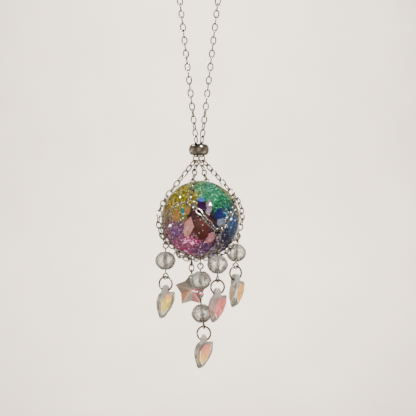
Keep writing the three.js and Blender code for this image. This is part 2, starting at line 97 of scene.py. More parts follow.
class Build:
    """Collects the faces of one piece, in mm, with a material number and a colour for each face."""

    def __init__(self):
        self.points, self.faces, self.looks, self.colours = [], [], [], []

    def add(self, points, faces, look=0, colour=(1, 1, 1)):
        start = len(self.points)
        self.points.extend(np.asarray(points, float))
        self.faces.extend([[start + i for i in face] for face in faces])
        self.looks.extend([look] * len(faces))
        self.colours.extend([colour] * len(faces))

    def mesh(self, name, smooth):
        mesh = bpy.data.meshes.new(name)
        mesh.from_pydata((np.array(self.points) / 1000).tolist(), [], self.faces)
        mesh.polygons.foreach_set("material_index", self.looks)
        mesh.polygons.foreach_set("use_smooth", [smooth] * len(self.faces))
        if any(c != (1, 1, 1) for c in self.colours):
            paint = mesh.color_attributes.new("paint", "FLOAT_COLOR", "CORNER")
            flat = [v for face, c in zip(self.faces, self.colours) for _ in face for v in (*c, 1)]
            paint.data.foreach_set("color", flat)
        return mesh

    def piece(self, name, materials, slot, nodes=(), smooth=True):
        mesh = self.mesh(name, smooth)
        piece = part_piece(name, mesh, materials, nodes)
        mesh.validate()
        return piece


def in_scene(name, data, materials=()):
    for material in materials:
        data.materials.append(material)
    made = bpy.data.objects.new(name, data)
    bpy.context.scene.collection.objects.link(made)
    return made


def part_piece(name, mesh, materials, nodes=()):
    """A visible piece of the part, which takes the place of the solids of these nodes."""
    piece = in_scene(name, mesh, materials)
    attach(piece, "root")
    if nodes:
        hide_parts(*nodes)
    return piece


def unit(v):
    return v / np.linalg.norm(v)


def turned(v, axis, angle):
    """A vector turned about a unit axis."""
    c, s = math.cos(angle), math.sin(angle)
    return v * c + np.cross(axis, v) * s + axis * np.dot(axis, v) * (1 - c)


def wire(build, path, normal, radius, closed=True, sides=8):
    """Round wire along a path that lies in one plane."""
    path = np.asarray(path, float)
    count = len(path)
    if closed:
        tangents = np.roll(path, -1, axis=0) - np.roll(path, 1, axis=0)
    else:
        tangents = np.gradient(path, axis=0)
    tangents /= np.linalg.norm(tangents, axis=1)[:, None]
    across = np.cross(tangents, normal)
    around = np.arange(sides) / sides * 2 * math.pi
    c, s = np.cos(around)[None, :, None], np.sin(around)[None, :, None]
    rim = radius * (c * across[:, None, :] + s * normal)
    points = (path[:, None, :] + rim).reshape(-1, 3)
    faces = []
    for i in range(count if closed else count - 1):
        k = (i + 1) % count
        for j in range(sides):
            m = (j + 1) % sides
            faces.append([i * sides + j, i * sides + m, k * sides + m, k * sides + j])
    if not closed:
        faces.append(list(range(sides)))
        faces.append([(count - 1) * sides + j for j in reversed(range(sides))])
    build.add(points, faces)


def turned_profile(build, profile, turns, centre=(0, 0, 0), closed=False):
    """A profile of radii and heights, turned about an upright axis."""
    around = np.arange(turns) / turns * 2 * math.pi
    points = [np.add(centre, (r * math.cos(a), r * math.sin(a), z)) for r, z in profile for a in around]
    rows = len(profile)
    faces = []
    for i in range(rows if closed else rows - 1):
        here, there = i * turns, (i + 1) % rows * turns
        for k in range(turns):
            n = (k + 1) % turns
            faces.append([here + k, there + k, there + n, here + n])
    build.add(points, faces)


# ---- materials ----


def shader(name, **values):
    """A Principled material, its plain values set on the shader's own sockets."""
    material = bpy.data.materials.new(name)
    material.use_nodes = True
    principled = material.node_tree.nodes["Principled BSDF"]
    for key, value in values.items():
        principled.inputs[key.replace("_", " ")].default_value = value
    return material, material.node_tree, principled


def node(tree, kind, **settings):
    made = tree.nodes.new(kind)
    for key, value in settings.items():
        if key in made.inputs:
            made.inputs[key].default_value = value
        else:
            setattr(made, key, value)
    return made


def position(tree):
    return tree.nodes.new("ShaderNodeTexCoord").outputs["Object"]


def grain(tree, scale):
    made = node(tree, "ShaderNodeTexNoise", Scale=scale, Detail=3.0)
    tree.links.new(position(tree), made.inputs["Vector"])
    return made.outputs["Fac"]


def ramp(tree, source, stops):
    made = tree.nodes.new("ShaderNodeValToRGB")
    while len(made.color_ramp.elements) < len(stops):
        made.color_ramp.elements.new(0.5)
    for element, (place, colour) in zip(made.color_ramp.elements, stops):
        element.position = place
        element.color = (*colour, 1)
    tree.links.new(source, made.inputs["Fac"])
    return made.outputs["Color"]


def spread(tree, source, low, high):
    """Turns a value between 0 and 1 into one between low and high."""
    made = tree.nodes.new("ShaderNodeMapRange")
    made.inputs["To Min"].default_value = low
    made.inputs["To Max"].default_value = high
    tree.links.new(source, made.inputs["Value"])
    return made.outputs["Result"]


def face_colour(tree):
    return node(tree, "ShaderNodeAttribute", attribute_name="paint").outputs["Color"]


def multiplied(tree, first, second):
    made = node(tree, "ShaderNodeMix", data_type="RGBA", blend_type="MULTIPLY", Factor=1.0)
    tree.links.new(first, made.inputs[6])
    tree.links.new(second, made.inputs[7])
    return made.outputs[2]


def bump(tree, principled, source, strength, distance):
    made = node(tree, "ShaderNodeBump", Strength=strength, Distance=distance)
    tree.links.new(source, made.inputs["Height"])
    tree.links.new(made.outputs["Normal"], principled.inputs["Normal"])


def silver(name, bright, dull):
    """Silver plate with cloudy tarnish and fine scratches."""
    material, tree, principled = shader(name, Metallic=1.0)
    clouds = grain(tree, 900.0)
    tree.links.new(ramp(tree, clouds, [(0.3, dull), (0.65, bright)]), principled.inputs["Base Color"])
    tree.links.new(spread(tree, clouds, 0.24, 0.1), principled.inputs["Roughness"])
    bump(tree, principled, grain(tree, 2600.0), 0.5, 0.00005)
    return material


CHAIN = silver("chain_silver", (0.5, 0.48, 0.455), (0.2, 0.185, 0.165))
POLISHED = silver("polished_silver", (0.33, 0.315, 0.29), (0.17, 0.155, 0.135))
RING_SILVER = silver("ring_silver", (0.32, 0.3, 0.275), (0.13, 0.12, 0.105))


# ---- the routes that the solids take ----


def direction(azimuth, latitude):
    a, l = math.radians(azimuth), math.radians(latitude)
    return np.array([math.cos(l) * math.sin(a), -math.cos(l) * math.cos(a), math.sin(l)])


def on_net(azimuth, latitude):
    return direction(azimuth, latitude) * CHAIN_LIE


class Ring:
    def __init__(self, centre, axis):
        self.centre, self.axis = np.asarray(centre, float), unit(np.asarray(axis, float))
        inner_radius = RING_RADIUS * math.sqrt(math.cos(math.pi / RING_SIDES)) - WIRE_RADIUS
        self.hold = inner_radius - FIT_GAP - FUSE / 2

    def towards(self, place):
        way = place - self.centre
        way = way - self.axis * np.dot(way, self.axis)
        return unit(way) * self.hold + self.centre


def spaced(point_at):
    """Contact points at even steps along a curve given for t from 0 to 1."""
    times = np.linspace(0, 1, 201)
    points = np.array([point_at(t) for t in times])
    run = np.concatenate([[0], np.cumsum(np.linalg.norm(np.diff(points, axis=0), axis=1))])
    steps = max(1, round(run[-1] / LINK_PITCH))
    return [point_at(t) for t in np.interp(np.linspace(0, run[-1], steps + 1), run, times)]


def over_ball(points):
    """A centripetal Catmull-Rom curve through the points, drawn out to the net's height."""
    points = [2 * points[0] - points[1], *points, 2 * points[-1] - points[-2]]

    def point_at(t):
        place = t * (len(points) - 3)
        i = min(int(place), len(points) - 4)
        w = place - i
        p0, p1, p2, p3 = points[i : i + 4]
        d0, d1, d2 = (math.sqrt(np.linalg.norm(b - a)) for a, b in ((p0, p1), (p1, p2), (p2, p3)))
        m1 = ((p1 - p0) / d0 - (p2 - p0) / (d0 + d1) + (p2 - p1) / d1) * d1
        m2 = ((p2 - p1) / d1 - (p3 - p1) / (d1 + d2) + (p3 - p2) / d2) * d1
        c2, c3 = -3 * p1 + 3 * p2 - 2 * m1 - m2, 2 * p1 - 2 * p2 + m1 + m2
        return unit(p1 + m1 * w + c2 * w * w + c3 * w**3) * CHAIN_LIE

    return point_at


def taut_over_ball(above, end):
    """Straight from a point above the ball to the net's height over it, then along the ball."""
    axis = unit(np.cross(above, end))
    to_touch = math.acos(CHAIN_LIE / np.linalg.norm(above))
    over = math.acos(np.dot(unit(above), unit(end))) - to_touch
    touch = turned(unit(above) * CHAIN_LIE, axis, to_touch)
    free = np.linalg.norm(touch - above)

    def point_at(t):
        run = t * (free + over * CHAIN_LIE)
        if run < free:
            return above + (touch - above) * run / free
        return turned(touch, axis, (run - free) / CHAIN_LIE)

    return point_at


def way_over_ball(start, end, via):
    """From one ring to another over the ball, by the places in between."""
    between = [on_net(*place) for place in via]
    first = start.towards(between[0] if between else end.centre)
    last = end.towards(between[-1] if between else start.centre)
    if not between:
        between = [unit(first + last) * CHAIN_LIE]
    return over_ball([first, *between, last])


def half_turn(angle):
    """The same angle within a quarter turn of zero, as a link looks the same after half a turn."""
    return angle - math.pi * math.floor(angle / math.pi + 0.5)


def turns_at(ring_axis, start, end):
    """How a link may be turned where it hangs in a ring."""
    along = unit(end - start)
    outward = unit(start + end)
    outward = unit(outward - along * np.dot(outward, along))
    across = np.cross(ring_axis, along)
    turn = half_turn(math.atan2(np.dot(across, np.cross(along, outward)), np.dot(across, outward)))
    return [STANDS_UP, -STANDS_UP] if abs(turn) > STANDS_UP else [turn]


def twisted_turns(contacts, first_axis, last_axis):
    """Quarter turns from link to link, with the least twist that suits the rings at both ends."""
    steps = max(1, len(contacts) - 2)
    best = None
    for first in turns_at(first_axis, contacts[0], contacts[1]):
        for last in turns_at(last_axis, contacts[-2], contacts[-1]):
            twist = half_turn(last - first - steps * math.pi / 2)
            if best is None or abs(twist) < abs(best[1]):
                best = (first, twist)
    return lambda i: best[0] + i * math.pi / 2 + i * best[1] / steps


# ---- chain ----

LINK_WIRE = 0.26
LINK_HALF_WIDTH = 1.2
LINK_POINTS = 26
LINK_FULLNESS = 0.92  # power of its curve: 1 is an ellipse, less is squarer
NET_RING_RADIUS = RING_RADIUS - 0.05
ASKEW = [0.31, 0.2, 0.93]  # a direction that no ring's axis has


def link_into(build, start, end, normal):
    """One oval link of round wire between two contact points."""
    along = end - start
    half = np.linalg.norm(along) / 2 + LINK_WIRE
    along = unit(along)
    across = np.cross(normal, along)
    angles = np.arange(LINK_POINTS) / LINK_POINTS * 2 * math.pi
    c, s = np.cos(angles), np.sin(angles)
    x = c * half
    y = np.sign(s) * np.abs(s) ** LINK_FULLNESS * (LINK_HALF_WIDTH - LINK_WIRE)
    middle = (start + end) / 2 + BALL
    wire(build, middle + np.outer(x, along) + np.outer(y, across), normal, LINK_WIRE)


def chain(name, contacts, outward_at, turn_of):
    """Links between the contact points; turn_of gives a link's turn from facing outwards."""
    build = Build()
    for i, (start, end) in enumerate(zip(contacts, contacts[1:])):
        along = unit(end - start)
        outward = outward_at((start + end) / 2)
        outward = unit(outward - along * np.dot(outward, along))
        link_into(build, start, end, turned(outward, along, turn_of(i)))
    build.piece(f"{name}_links", [CHAIN], "silver_wire", [name])


def round_ring(name, centre, axis, radius, wire_radius, material=CHAIN, cut=0.0, cut_at=0.0):
    """A ring of round wire; cut is the width of the cut in it, in degrees."""
    side = unit(np.cross(axis, ASKEW))
    other = np.cross(axis, side)
    if cut:
        angles = cut_at + np.linspace(0, 2 * math.pi - math.radians(cut), 49)
    else:
        angles = np.linspace(0, 2 * math.pi, 37)[:-1]
    path = centre + radius * (np.outer(np.cos(angles), side) + np.outer(np.sin(angles), other))
    build = Build()
    wire(build, path, np.asarray(axis, float), wire_radius, closed=not cut, sides=10)
    build.piece(f"{name}_wire", [material], "silver_wire", [name])


def net_ring(name, ring):
    round_ring(name, ring.centre + BALL, ring.axis, NET_RING_RADIUS, LINK_WIRE)


def hanging_chain(rings):
    """The loop: a bend over the peg, and on each side a strand that runs into the slider."""
    slider_top = SLIDER["z"] + SLIDER["height"] / 2
    in_slider = slider_top - RING_Z - rings["left"].hold
    whole = (LINKS_PER_SIDE + 0.5) * LINK_PITCH - NODE_STEP - in_slider
    bend = (math.pi / 2 + STRAND_SPREAD) / math.cos(STRAND_SPREAD)
    straight = (whole - STRAND_OFFSET * bend) / (1 + math.sin(STRAND_SPREAD) * bend)
    radius = (STRAND_OFFSET + straight * math.sin(STRAND_SPREAD)) / math.cos(STRAND_SPREAD)
    centre_z = slider_top + straight * math.cos(STRAND_SPREAD) + radius * math.sin(STRAND_SPREAD)

    def point(run, sign):
        bend_length = radius * (math.pi / 2 + STRAND_SPREAD)
        if run < bend_length:
            x, z = radius * math.sin(run / radius), centre_z + radius * math.cos(run / radius)
        else:
            up = max(0, straight - (run - bend_length))
            x = STRAND_OFFSET + up * math.sin(STRAND_SPREAD)
            z = slider_top + up * math.cos(STRAND_SPREAD) - max(0, run - bend_length - straight)
        return np.array([LOOP_X + sign * x, 0, z])

    def turn(number):
        near = max(0, number - (LINKS_PER_SIDE - UNTWIST_LINKS)) / UNTWIST_LINKS
        return number * math.pi / 2 + near * math.pi / 4

    def front(_):
        return np.array([0.0, -1.0, 0.0])

    runs = [(i + 0.5) * LINK_PITCH for i in range(TOP_LINKS_PER_SIDE + 1)]
    top = [point(r, -1) for r in reversed(runs)] + [point(r, 1) for r in runs]
    chain("hanging_chain_top", top, front, lambda i: turn(abs(i - TOP_LINKS_PER_SIDE)))
    for side, sign in (("left", -1), ("right", 1)):
        numbers = range(TOP_LINKS_PER_SIDE, LINKS_PER_SIDE)
        strand = [point((i + 0.5) * LINK_PITCH - NODE_STEP, sign) for i in numbers]
        strand.append(rings[side].towards(strand[-1]))
        chain(f"hanging_chain_{side}", strand, front, lambda i: turn(i + TOP_LINKS_PER_SIDE + 1))


LOWER_LENGTHS = (
    "front_right_to_drop_hold",
    "drop_hold_to_hub",
    "back_right_to_hub",
    "back_left_to_hub",
    "front_left_to_hub",
)


def net():
    """The net's rings and lengths; gives back the slider's two rings, which the loop's strands hold."""
    slider_rings = {
        side: Ring([LOOP_X + sign * SLIDER_RING["x"], 0, RING_Z], [1, 1, 0])
        for side, sign in (("left", -1), ("right", 1))
    }
    rings = {}
    for name, azimuth, latitude, facing_azimuth in [*UPPER_CROSSINGS, *LOWER_CROSSINGS, HUB, DROP_HOLD]:
        if facing_azimuth is None:
            axis = direction(azimuth, latitude)
        else:
            axis = direction(facing_azimuth, latitude / 2)
        rings[name] = Ring(on_net(azimuth, latitude), axis)
        net_ring(f"net_ring_{name}", rings[name])
    for side, ring in slider_rings.items():
        net_ring(f"slider_ring_{side}", ring)

    def length(name, start, end, point_at):
        contacts = spaced(point_at)
        chain(f"net_chain_{name}", contacts, unit, twisted_turns(contacts, start.axis, end.axis))

    for i, (name, *_) in enumerate(UPPER_CROSSINGS):
        side = ("left", "right", "right", "left")[i]
        upper = rings[name]
        start = slider_rings[side].towards(upper.centre)
        length(f"{side}_to_{name}", slider_rings[side], upper, taut_over_ball(start, upper.towards(start)))
        for k in (i, (i + 3) % 4):
            low = LOWER_CROSSINGS[k][0]
            way = way_over_ball(upper, rings[low], WAYS.get(f"{name}_to_{low}", []))
            length(f"{name}_to_{low}", upper, rings[low], way)
    for name in LOWER_LENGTHS:
        start, end = (rings[ring] for ring in name.split("_to_"))
        length(name, start, end, way_over_ball(start, end, WAYS.get(name, [])))
    return slider_rings


hanging_chain(net())


# ---- findings ----


def spread_of(name):
    """A CAD node's points in mm, their middle, and their directions from the longest to the shortest."""
    points = np.array([v.co for v in NODES[name].data.vertices]) * 1000
    middle = points.mean(axis=0)
    _, _, axes = np.linalg.svd(points - middle, full_matrices=False)
    return points, middle, axes


SLIDER_STEPS, SLIDER_TURNS = 16, 64
SLIDER_CURVE = 0.9  # power of its rim's curve: 1 is a circle, less is fuller


def slider_bead():
    """A flattened bead, whose bore widens into a lip at both ends."""
    bore, half = SLIDER["bore"], SLIDER["height"] / 2
    lip, rim = bore + 0.12, bore + 0.45
    wall_end, lip_end = 0.62 * half, 0.86 * half
    profile = [(bore, -wall_end), (bore, wall_end), (lip, lip_end)]
    for i in range(SLIDER_STEPS + 1):
        angle = math.pi / 2 - i / SLIDER_STEPS * math.pi
        radius = rim + (SLIDER["radius"] - rim) * math.cos(angle) ** SLIDER_CURVE
        profile.append((radius, half * math.sin(angle)))
    profile.append((lip, -lip_end))
    build = Build()
    centre = BALL + np.array([LOOP_X, 0, SLIDER["z"]])
    turned_profile(build, profile, SLIDER_TURNS, centre, closed=True)
    build.piece("slider_bead_shell", [POLISHED], "silver_bead", ["slider_bead"])


JUMP_RING = {"radius": 2.6, "wire_radius": 0.36, "cut": 2.5, "cut_at": 0.4}


def jump_ring(name):
    _, middle, axes = spread_of(name)
    round_ring(name, middle, axes[2], material=RING_SILVER, **JUMP_RING)


def single_link(name):
    _, middle, axes = spread_of(name)
    run = (LINK_PITCH / 2) * axes[0]
    build = Build()
    link_into(build, middle - run - BALL, middle + run - BALL, axes[2])
    build.piece(f"{name}_wire", [CHAIN], "silver_wire", [name])


PIN_WIRE = 0.29
EYE_RADIUS = 1.02
EYE_REACH = 1.43  # from the pin's end to the middle of its eye
EYE_FROM, EYE_TO, EYE_POINTS = 28, 348, 26  # the wire's turn round the eye, in degrees
NECK_FROM, NECK_TO = 0.28, 0.8  # past the eye, where its wire bends into the shank


def eye_pin(name):
    """A pin of round wire with an eye bent at each end, the cut end just short of the shank."""
    points, middle, axes = spread_of(name)
    down = axes[0] if axes[0][2] < 0 else -axes[0]
    across = np.cross(axes[2], down)
    along = (points - middle) @ down
    top, bottom = along.min() + EYE_REACH, along.max() - EYE_REACH
    angles = np.radians(np.linspace(EYE_FROM, EYE_TO, EYE_POINTS))
    path = [(EYE_RADIUS * math.sin(-a), top + EYE_RADIUS * math.cos(a)) for a in angles[::-1]]
    path += [(0.03, top + EYE_RADIUS + NECK_FROM), (0, top + EYE_RADIUS + NECK_TO)]
    path += [(0, bottom - EYE_RADIUS - NECK_TO), (-0.03, bottom - EYE_RADIUS - NECK_FROM)]
    path += [(-EYE_RADIUS * math.sin(-a), bottom - EYE_RADIUS * math.cos(a)) for a in angles]
    build = Build()
    wire(build, [middle + across * x + down * z for x, z in path], axes[2], PIN_WIRE, closed=False)
    build.piece(f"{name}_wire", [POLISHED], "silver_wire", [name])
    return across, down


slider_bead()
for drop in ("left_drop", "right_drop", "front_right_drop", "middle_drop"):
    jump_ring(f"{drop}_jump_ring")
for name in ("middle_drop_link", "star_drop_upper_link", "star_drop_lower_link"):
    single_link(name)
PINS = {name: eye_pin(name) for name in NODES if "eye_pin" in name}


# ---- glass ----


def clear_glass(name, **values):
    """Clear glass; each facet takes the tone that it is painted with, painted refraction: the light and
    dark of the room that each facet of cut glass shows.
    """
    material, tree, principled = shader(name, Roughness=0.0, **values)
    haze = spread(tree, grain(tree, 420.0), 0.86, 1.1)
    tree.links.new(multiplied(tree, face_colour(tree), haze), principled.inputs["Base Color"])
    return material


COATING_DRIFT = 0.22  # how far a patch of the coating strays from its height's colour


def coated_glass(name, low, high, stops):
    """Glass with a coating whose colour changes with height, between two heights in metres."""
    material, tree, principled = shader(name, IOR=1.52, Transmission_Weight=0.2, Coat_Weight=1.0)
    split = tree.nodes.new("ShaderNodeSeparateXYZ")
    tree.links.new(position(tree), split.inputs[0])
    height = tree.nodes.new("ShaderNodeMapRange")
    height.inputs["From Min"].default_value = low
    height.inputs["From Max"].default_value = high
    tree.links.new(split.outputs["Z"], height.inputs["Value"])
    drift = node(tree, "ShaderNodeMath", operation="MULTIPLY_ADD")
    tree.links.new(grain(tree, 260.0), drift.inputs[0])
    drift.inputs[1].default_value = COATING_DRIFT
    tree.links.new(height.outputs["Result"], drift.inputs[2])
    tone = ramp(tree, drift.outputs[0], stops)
    tree.links.new(multiplied(tree, tone, face_colour(tree)), principled.inputs["Base Color"])
    tree.links.new(spread(tree, grain(tree, 700.0), 0.02, 0.09), principled.inputs["Roughness"])
    return material


def painted(name, scale=1100.0, low=0.72, high=1.25, **values):
    """Takes each face's own colour, with a fine variation over it; an emission, a painted glow, takes it
    plain.
    """
    material, tree, principled = shader(name, **values)
    paint = face_colour(tree)
    vary = spread(tree, grain(tree, scale), low, high)
    tree.links.new(multiplied(tree, paint, vary), principled.inputs["Base Color"])
    if "Emission_Strength" in values:
        tree.links.new(paint, principled.inputs["Emission Color"])
    bump(tree, principled, grain(tree, 1600.0), 0.25, 0.0001)
    return material


BEAD_GLASS = clear_glass("bead_glass", IOR=1.46, Transmission_Weight=0.86)
CUT_GLASS = clear_glass("cut_glass", IOR=1.5, Transmission_Weight=0.78)
NECK_GLASS = painted("neck_glass", 900.0, 0.8, 1.2, Transmission_Weight=0.45, Roughness=0.12, IOR=1.5)
# Near-white facets that stand for sparkles of light on the pendants: painted glints
GLINT = painted("glint", 900.0, 0.9, 1.1, Transmission_Weight=0.1, Roughness=0.3, Coat_Weight=1.0)
SAME_PLACE = 2e-6  # m


# A facet's tone at random: painted refraction, for the light and dark parts of the room that each facet of
# cut glass shows
def painted_refraction_tone(rng):
    tone = rng.choice((0.42, 0.56, 0.7, 0.86, 1.0))
    return (0.98 * tone, tone, 0.96 * tone)


FACETS = 12
BORE_RADIUS, TABLE_RADIUS = 0.62, 1.6  # of the flat at each end of a bead
# The corners from there to the bead's middle: radius, height and turn, in facets
BEAD_ROWS = [(2.95, 2.4, 0.5), (3.72, 1.15, 0), (4.0, 0, 0.5)]
BEAD_TURN = 0.35  # from one bead to the next, so that they don't all face the same way


def bead(name, turn):
    """A faceted round bead around its pin."""
    points = spread_of(name)[0]
    side, down = PINS[name.replace("_bead", "_eye_pin")]
    up = -down
    other = np.cross(up, side)
    low, high = (points @ up).min(), (points @ up).max()
    middle = (np.min(points, axis=0) + np.max(points, axis=0)) / 2
    middle = middle + up * ((low + high) / 2 - middle @ up)
    half = (high - low) / 2
    rows = [(BORE_RADIUS, half, 0), (TABLE_RADIUS, half, 0), *BEAD_ROWS]
    rows += [(r, -z, offset) for r, z, offset in reversed(rows[:-1])]
    corners = []
    for radius, z, offset in rows:
        for k in range(FACETS):
            angle = (k + offset) / FACETS * 2 * math.pi + turn
            outward = side * math.cos(angle) + other * math.sin(angle)
            corners.append(middle + up * z + radius * outward)
    faces = []
    count = len(rows)
    for i in range(count):
        here, there = i * FACETS, (i + 1) % count * FACETS
        shift = rows[(i + 1) % count][2] - rows[i][2]
        for k in range(FACETS):
            n = (k + 1) % FACETS
            if shift == 0:
                faces.append([here + k, there + k, there + n, here + n])
            elif shift > 0:
                faces += [[here + k, there + k, here + n], [here + n, there + k, there + n]]
            else:
                faces += [[here + k, there + k, there + n], [here + k, there + n, here + n]]
    rng = random.Random(name)
    build = Build()
    for face in faces:
        build.add([corners[i] for i in face], [range(len(face))], 0, painted_refraction_tone(rng))
    piece = build.piece(f"{name}_cut", [BEAD_GLASS], "bead_glass", [name], smooth=False)
    welded = bmesh.new()
    welded.from_mesh(piece.data)
    bmesh.ops.remove_doubles(welded, verts=welded.verts, dist=SAME_PLACE)
    welded.to_mesh(piece.data)
    welded.free()


CLEAR, COATED, NECK, SHINING = range(4)  # the numbers of a pendant's materials
FLAT, SHARP = math.radians(2), math.radians(8)  # faces at less are one; edges over more are ground
TABLE_RISE = 0.16  # the coated table is cut in flat triangles that rise to its middle
TABLE_RIM = 0.24  # the clear rim round it
SHINING_LOWEST, SHINING_SHARE = 3, 0.12  # so many of the rim's lowest faces, and this share of all, are painted near-white: painted glints
# The near-white of the painted glints
SHINE = (1, 1, 0.97)


def by_place(face):
    """Sorts faces by where they are, because the tools that cut them leave them in a chance order."""
    return tuple(round(v, 6) for v in face.calc_center_median())


def paint_face(face, paint, colour):
    for loop in face.loops:
        loop[paint] = (*colour, 1)


def cut_tables(mesh, tables, paint, rng):
    """Gives each coated table its rim, some faces of which are painted glints, and cuts it in triangles of
    slightly different tones.
    """
    rim = bmesh.ops.inset_individual(mesh, faces=tables, thickness=TABLE_RIM / 1000, depth=0)["faces"]
    rim.sort(key=by_place)
    lowest = sorted(rim, key=lambda f: f.calc_center_median().z)[:SHINING_LOWEST]
    for face in rim:
        shines = face in lowest or rng.random() < SHINING_SHARE
        face.material_index = SHINING if shines else CLEAR
        paint_face(face, paint, SHINE if shines else painted_refraction_tone(rng))
    triangles = bmesh.ops.poke(mesh, faces=tables, offset=TABLE_RISE / 1000)["faces"]
    for face in sorted(triangles, key=by_place):
        tone = rng.uniform(0.72, 1.3)
        for loop in face.loops:
            loop[paint] = (tone, tone * rng.uniform(0.92, 1.06), tone, 1)


def cut_crystal(name, materials, look_of, edge):
    """The solid of a crystal with its edges ground; look_of gives a facet's material and colour."""
    mesh = bmesh.new()
    mesh.from_mesh(NODES[name].data)
    bmesh.ops.remove_doubles(mesh, verts=mesh.verts, dist=SAME_PLACE)
    bmesh.ops.dissolve_limit(mesh, angle_limit=FLAT, verts=mesh.verts, edges=mesh.edges)
    sharp = [e for e in mesh.edges if len(e.link_faces) == 2 and e.calc_face_angle(0) > SHARP]
    paint = mesh.loops.layers.float_color.new("paint")
    for face in sorted(mesh.faces, key=by_place):
        look, colour = look_of(np.array(face.normal), np.array(face.calc_center_median()) * 1000)
        face.material_index = look
        paint_face(face, paint, colour)
    ground = {"offset": edge / 1000, "segments": 1, "affect": "EDGES", "clamp_overlap": True}
    bmesh.ops.bevel(mesh, geom=sharp, material=CLEAR, **ground)
    tables = [face for face in mesh.faces if face.material_index == COATED]
    if tables:
        cut_tables(mesh, tables, paint, random.Random(name))
    order = {face: i for i, face in enumerate(sorted(mesh.faces, key=by_place))}
    mesh.faces.sort(key=order.get)
    data = bpy.data.meshes.new(f"{name}_cut")
    mesh.to_mesh(data)
    mesh.free()
    part_piece(f"{name}_cut", data, materials, [name])


def facing(degrees):
    return np.array([math.sin(math.radians(degrees)), -math.cos(math.radians(degrees)), 0])


NECK_LENGTH = 4.2  # on the pendant's front and back; on its sides the neck ends higher by NECK_SHORTER
NECK_SHORTER = 1.2
NECK_FRONT, NECK_SIDE = (0.5, 0.475, 0.44), (0.46, 0.44, 0.41)
SALMON, CORAL, ORANGE = (0.9, 0.32, 0.24), (0.8, 0.19, 0.17), (0.95, 0.42, 0.14)
YELLOW, LIME = (0.95, 0.7, 0.12), (0.66, 0.85, 0.24)
# Which way each pendant faces, in degrees, and its coating's colours from the tip up
PENDANTS = {
    "left_drop": (-8, [(0.3, LIME), (0.44, YELLOW), (0.66, YELLOW), (0.72, ORANGE), (0.85, SALMON)]),
    "middle_drop": (0, [(0.3, YELLOW), (0.46, (0.95, 0.55, 0.12)), (0.56, ORANGE), (0.8, CORAL)]),
    "front_right_drop": (14, [(0.1, (0.75, 0.23, 0.18)), (0.5, CORAL), (0.95, (0.72, 0.18, 0.2))]),
    "right_drop": (45, [(0.1, (0.8, 0.45, 0.12)), (0.5, (0.82, 0.38, 0.07)), (0.9, (0.8, 0.5, 0.15))]),
}


def pendant(drop, yaw, stops):
    name = f"{drop}_pendant"
    (_, _, low), (_, _, high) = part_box(name)
    coat = coated_glass(f"{drop}_coat", low, high, stops)
    front, below = facing(yaw), high * 1000 - NECK_LENGTH
    rng = random.Random(name)

    def look(normal, centre):
        if abs(normal @ front) > 0.97:
            return (COATED, (1, 1, 1)) if centre[2] < below else (NECK, NECK_FRONT)
        return (NECK, NECK_SIDE) if centre[2] > below + NECK_SHORTER else (CLEAR, painted_refraction_tone(rng))

    cut_crystal(name, [CUT_GLASS, coat, NECK_GLASS, GLINT], look, 0.07)


for drop, (yaw, stops) in PENDANTS.items():
    pendant(drop, yaw, stops)
for i, name in enumerate(sorted(n for n in NODES if "_bead" in n and n != "slider_bead")):
    bead(name, BEAD_TURN * i)


# The star's coating changes from facet to facet: the angle to a facet's middle, and its colour
STAR_FACETS = [
    (0, (0.85, 0.2, 0.36)),
    (36, (0.7, 0.4, 0.42)),
    (72, (0.42, 0.46, 0.42)),
    (108, (0.24, 0.32, 0.28)),
    (144, (0.48, 0.42, 0.38)),
    (180, (0.52, 0.42, 0.35)),
    (216, (0.95, 0.52, 0.32)),
    (252, (0.95, 0.93, 0.88)),
    (288, (0.95, 0.45, 0.48)),
    (324, (0.95, 0.24, 0.34)),
]


def star():
    name = "star_drop_star"
    middle = (np.array(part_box(name)[0]) + np.array(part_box(name)[1])) * 500
    glass = {"IOR": 1.52, "Transmission_Weight": 0.5, "Roughness": 0.08, "Coat_Weight": 0.6}
    coat = painted("star_coat", 1100.0, 0.85, 1.2, **glass)

    def look(_, centre):
        angle = math.degrees(math.atan2(centre[2] - middle[2], centre[0] - middle[0])) % 360
        nearest = min(STAR_FACETS, key=lambda facet: abs((angle - facet[0] + 180) % 360 - 180))
        return CLEAR, nearest[1]

    cut_crystal(name, [coat], look, 0.1)


star()


# ---- the ball, and what is sealed in it ----

RESIN_IOR = 1.5
CORE = 10.4  # radius of what is sealed in, which the resin magnifies


def seen_at(x, z):
    """The direction from the centre that the resin shows at a place of the front view, in ball radii."""
    h = math.hypot(x, z)
    if h < 1e-6:
        return np.array([0.0, -1.0, 0.0])
    on_core = math.asin(min(1, h * BALL_RADIUS / (RESIN_IOR * CORE)))
    angle = on_core + math.asin(h) - math.asin(h / RESIN_IOR)
    return np.array([math.sin(angle) * x / h, -math.cos(angle), math.sin(angle) * z / h])


OLIVE, GOLD, AMBER = (0.45, 0.38, 0.01), (0.66, 0.54, 0.03), (0.36, 0.2, 0.06)
TEAL, GREEN, EMERALD = (0.03, 0.6, 0.42), (0.12, 0.8, 0.4), (0.004, 0.26, 0.12)
BLUE, NAVY, INDIGO = (0.0, 0.2, 0.6), (0.003, 0.012, 0.085), (0.02, 0.015, 0.12)
VIOLET, MAGENTA, PLUM = (0.3, 0.12, 0.4), (0.95, 0.16, 0.42), (0.06, 0.015, 0.045)
